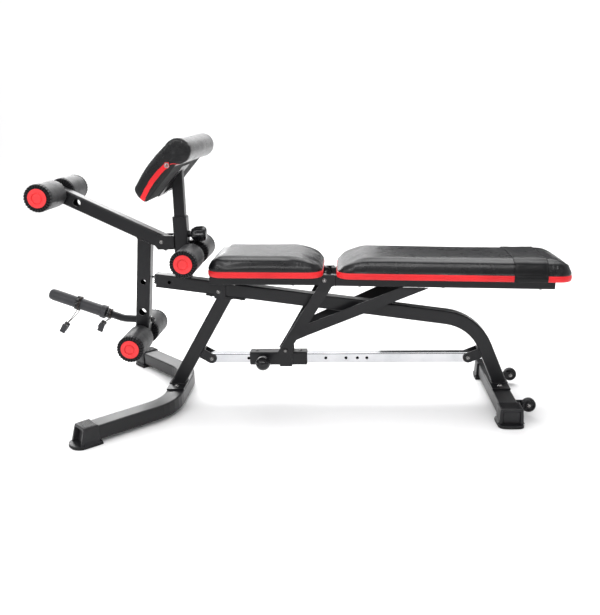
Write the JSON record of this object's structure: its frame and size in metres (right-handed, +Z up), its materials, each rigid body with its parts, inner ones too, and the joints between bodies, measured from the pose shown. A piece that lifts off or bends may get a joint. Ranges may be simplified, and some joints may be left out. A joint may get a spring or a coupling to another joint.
{
  "type": "adjustable exercise bench",
  "caption": "Adjustable sit-up and weight bench with split pads, leg lever with foam rollers, slanted curl pad on a post, and a sliding pin adjuster under a hinged back.",
  "frame": {"origin": "centre of the object's box in X and Y, on the floor in Z", "axes": "+X towards the head end of the back pad, +Z up, -Y the side of the pull knob"},
  "size_m": [1.6877, 0.7984, 0.8843],
  "materials": {
    "frame_coat": "satin black powder coat",
    "chrome": "polished",
    "zinc": "zinc plated",
    "vinyl": "black vinyl with a red band low on the sides",
    "foam": "matte closed-cell foam",
    "plastic": "black moulded plastic",
    "board": "black-covered board",
    "rubber": "black",
    "wheel": "black moulded wheel"
  },
  "bodies": {
    "base": {"adjuster_bar": "chrome", "bar_bolt_front": "zinc", "bar_bolt_rear": "zinc", "bar_bracket_front": "frame_coat", "bar_bracket_rear": "frame_coat", "beam_front_cap": "plastic", "front_foot": "frame_coat", "front_foot_cap_left": "plastic", "front_foot_cap_right": "plastic", "front_post": "frame_coat", "lever_pivot_bolt": "zinc", "main_beam": "frame_coat", "post_sleeve": "frame_coat", "rear_foot": "frame_coat", "rear_foot_cap_left": "plastic", "rear_foot_cap_right": "plastic", "seat_pivot_bolt": "zinc", "sleeve_bushing": "plastic", "stop_bumper": "rubber", "thigh_roller_tube": "frame_coat", "wheel_axle_left": "zinc", "wheel_axle_right": "zinc"},
    "post_knob": {"post_knob": "plastic"},
    "preacher": {"preacher_post": "frame_coat", "preacher_board": "board", "preacher_pad": "vinyl"},
    "lever": {"lever_frame": "frame_coat", "arm_end_cap": "plastic", "plate_bar": "frame_coat", "plate_sleeve": "plastic", "spring_clip_inner": "zinc", "spring_clip_outer": "zinc", "top_roller_tube": "frame_coat", "low_roller_tube": "frame_coat"},
    "seat": {"seat_frame": "frame_coat", "seat_pad": "vinyl", "seat_hinge_bolt_left": "zinc", "seat_hinge_bolt_right": "zinc"},
    "back": {"back_frame": "frame_coat", "back_pad": "vinyl", "strut_left": "frame_coat", "strut_right": "frame_coat"},
    "slider": {"slider_sleeve": "frame_coat", "slider_bushing_front": "plastic", "slider_bushing_rear": "plastic"},
    "pull_knob": {"pull_knob": "plastic"},
    "wheel_left": {"wheel_left": "wheel"},
    "wheel_right": {"wheel_right": "wheel"},
    "top_roller_left": {"top_foam_left": "foam", "top_cap_left": "plastic"},
    "top_roller_right": {"top_foam_right": "foam", "top_cap_right": "plastic"},
    "low_roller_left": {"low_foam_left": "foam", "low_cap_left": "plastic"},
    "low_roller_right": {"low_foam_right": "foam", "low_cap_right": "plastic"},
    "thigh_roller_left": {"thigh_foam_left": "foam", "thigh_cap_left": "plastic"},
    "thigh_roller_right": {"thigh_foam_right": "foam", "thigh_cap_right": "plastic"}
  },
  "joints": [
    {"name": "seat_tilt", "type": "hinge", "parent": "base", "child": "seat", "pos_m": [-0.262, 0, 0.383], "axis": [0, 1, 0], "range_deg": [0, 8.66]},
    {"name": "back_recline", "type": "hinge", "parent": "seat", "child": "back", "pos_m": [0.086, 0, 0.4288], "axis": [0, -1, 0], "range_deg": [0, 83.45], "deforming": ["back_pad", "seat_pad"]},
    {"name": "slider_travel", "type": "slide", "parent": "base", "child": "slider", "axis": [1, 0, 0], "range_m": [0, 0.3402]},
    {"name": "pull_pin", "type": "slide", "parent": "slider", "child": "pull_knob", "axis": [0, -1, 0], "range_m": [0, 0.01], "stiffness_N_per_m": 800},
    {"name": "lever_swing", "type": "hinge", "parent": "base", "child": "lever", "pos_m": [-0.439, 0, 0.55], "axis": [0, 1, 0], "range_deg": [0, 40]},
    {"name": "preacher_height", "type": "slide", "parent": "base", "child": "preacher", "axis": [0, 0, 1], "range_m": [0, 0.1]},
    {"name": "post_knob_turn", "type": "hinge", "parent": "base", "child": "post_knob", "pos_m": [-0.348, 0, 0.5715], "axis": [1, 0, 0], "continuous": true},
    {"name": "wheel_left_spin", "type": "hinge", "parent": "base", "child": "wheel_left", "pos_m": [0.725, -0.139, 0.0353], "axis": [0, 1, 0], "continuous": true},
    {"name": "wheel_right_spin", "type": "hinge", "parent": "base", "child": "wheel_right", "pos_m": [0.725, 0.139, 0.0353], "axis": [0, 1, 0], "continuous": true},
    {"name": "top_roller_left_spin", "type": "hinge", "parent": "lever", "child": "top_roller_left", "pos_m": [-0.7725, -0.094, 0.7122], "axis": [0, 1, 0], "continuous": true},
    {"name": "top_roller_right_spin", "type": "hinge", "parent": "lever", "child": "top_roller_right", "pos_m": [-0.7725, 0.094, 0.7122], "axis": [0, 1, 0], "continuous": true},
    {"name": "low_roller_left_spin", "type": "hinge", "parent": "lever", "child": "low_roller_left", "pos_m": [-0.529, -0.094, 0.232], "axis": [0, 1, 0], "continuous": true},
    {"name": "low_roller_right_spin", "type": "hinge", "parent": "lever", "child": "low_roller_right", "pos_m": [-0.529, 0.094, 0.232], "axis": [0, 1, 0], "continuous": true},
    {"name": "thigh_roller_left_spin", "type": "hinge", "parent": "base", "child": "thigh_roller_left", "pos_m": [-0.3417, -0.094, 0.504], "axis": [0, 1, 0], "continuous": true},
    {"name": "thigh_roller_right_spin", "type": "hinge", "parent": "base", "child": "thigh_roller_right", "pos_m": [-0.3417, 0.094, 0.504], "axis": [0, 1, 0], "continuous": true}
  ],
  "couplings": [
    {"joint": "seat_tilt", "follows": "back_recline", "ratio": 0.10357},
    {"joint": "slider_travel", "follows": "back_recline", "m_per_rad": 0.23344}
  ]
}
